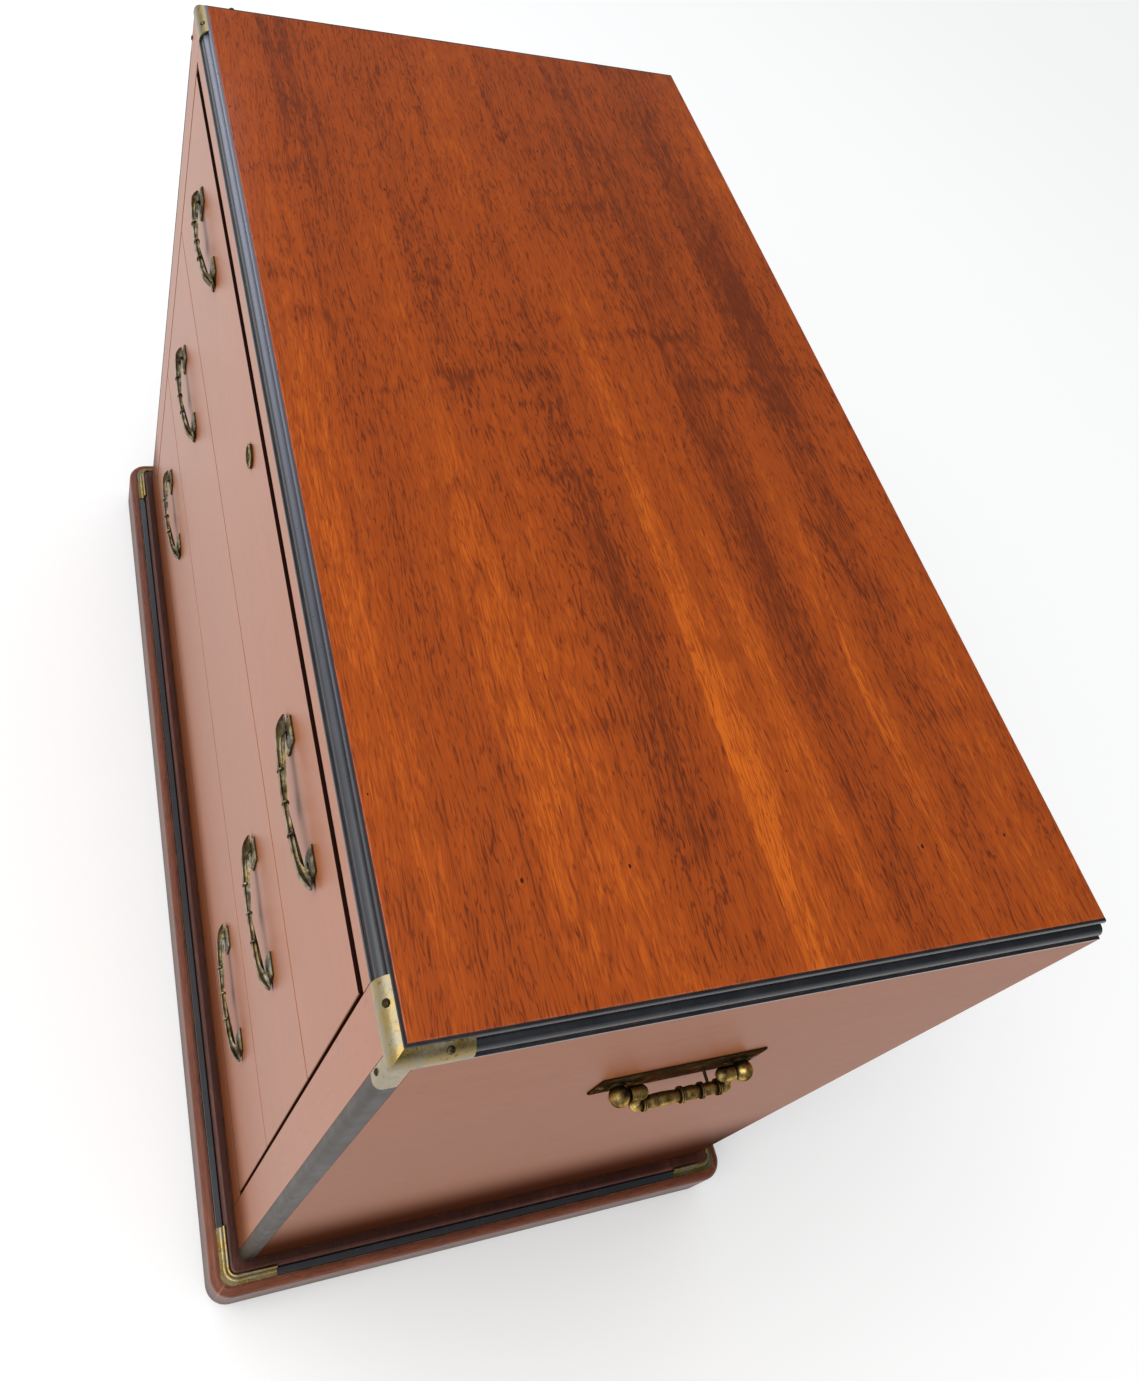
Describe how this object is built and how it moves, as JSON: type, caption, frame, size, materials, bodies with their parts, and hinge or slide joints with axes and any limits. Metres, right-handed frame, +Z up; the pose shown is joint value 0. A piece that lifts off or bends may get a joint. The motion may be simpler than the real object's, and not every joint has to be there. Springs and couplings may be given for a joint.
{
  "type": "campaign chest",
  "caption": "Low rectangular chest of drawers with sliding drawers, brass-capped corners, swinging side handles and a moulded plinth.",
  "frame": {"origin": "on the floor under the middle of the chest's overall footprint", "axes": "+Z up; drawers face and open towards -Y; X runs along the width"},
  "size_m": [0.9654, 0.5224, 0.7],
  "materials": {
    "wood": "satin lacquered cherry",
    "ebonised": "satin black lacquered wood",
    "secondary": "plain wood for the inside",
    "brass": "aged, polished on the edges",
    "steel": "dull"
  },
  "bodies": {
    "case": {"top_panel": "wood", "top_moulding_front": "ebonised", "top_moulding_right": "ebonised", "top_moulding_left": "ebonised", "corner_moulding_right": "ebonised", "corner_moulding_left": "ebonised", "side_panel_right": "wood", "side_panel_left": "wood", "stile_right": "wood", "stile_left": "wood", "top_rail": "wood", "bottom_rail": "wood", "back_panel": "secondary", "case_bottom": "secondary", "back_stretcher": "secondary", "divider_upper": "secondary", "divider_lower": "secondary", "runners_right": "secondary", "runners_left": "secondary", "plinth_right": "wood", "plinth_left": "wood", "plinth_front": "wood", "plinth_back": "wood", "ebony_band": "ebonised", "rim_bead": "wood", "base_bearers": "secondary", "base_corners": "brass", "cap_front_right": "brass", "cap_front_left": "brass", "cap_screws": "brass", "handle_plate_right": "brass", "handle_plate_left": "brass", "handle_posts_right": "brass", "handle_posts_left": "brass", "handle_screws": "brass"},
    "drawer_upper": {"drawer_front_upper": "wood", "drawer_side_upper_right": "secondary", "drawer_side_upper_left": "secondary", "drawer_back_upper": "secondary", "drawer_bottom_upper": "secondary", "rosettes_upper": "brass", "pulls_upper": "brass", "escutcheon": "brass", "lock": "steel"},
    "drawer_middle": {"drawer_front_middle": "wood", "drawer_side_middle_right": "secondary", "drawer_side_middle_left": "secondary", "drawer_back_middle": "secondary", "drawer_bottom_middle": "secondary", "rosettes_middle": "brass", "pulls_middle": "brass"},
    "drawer_lower": {"drawer_front_lower": "wood", "drawer_side_lower_right": "secondary", "drawer_side_lower_left": "secondary", "drawer_back_lower": "secondary", "drawer_bottom_lower": "secondary", "rosettes_lower": "brass", "pulls_lower": "brass"},
    "bail_right": {"bail_right": "brass"},
    "bail_left": {"bail_left": "brass"}
  },
  "joints": [
    {"name": "drawer_upper_slide", "type": "slide", "parent": "case", "child": "drawer_upper", "axis": [0, -1, 0], "range_m": [0, 0.33]},
    {"name": "drawer_middle_slide", "type": "slide", "parent": "case", "child": "drawer_middle", "axis": [0, -1, 0], "range_m": [0, 0.33]},
    {"name": "drawer_lower_slide", "type": "slide", "parent": "case", "child": "drawer_lower", "axis": [0, -1, 0], "range_m": [0, 0.33]},
    {"name": "bail_right_hinge", "type": "hinge", "parent": "case", "child": "bail_right", "pos_m": [0.4656, -0.006, 0.541], "axis": [0, -1, 0], "range_deg": [0, 100]},
    {"name": "bail_left_hinge", "type": "hinge", "parent": "case", "child": "bail_left", "pos_m": [-0.4656, -0.006, 0.541], "axis": [0, 1, 0], "range_deg": [0, 100]}
  ]
}
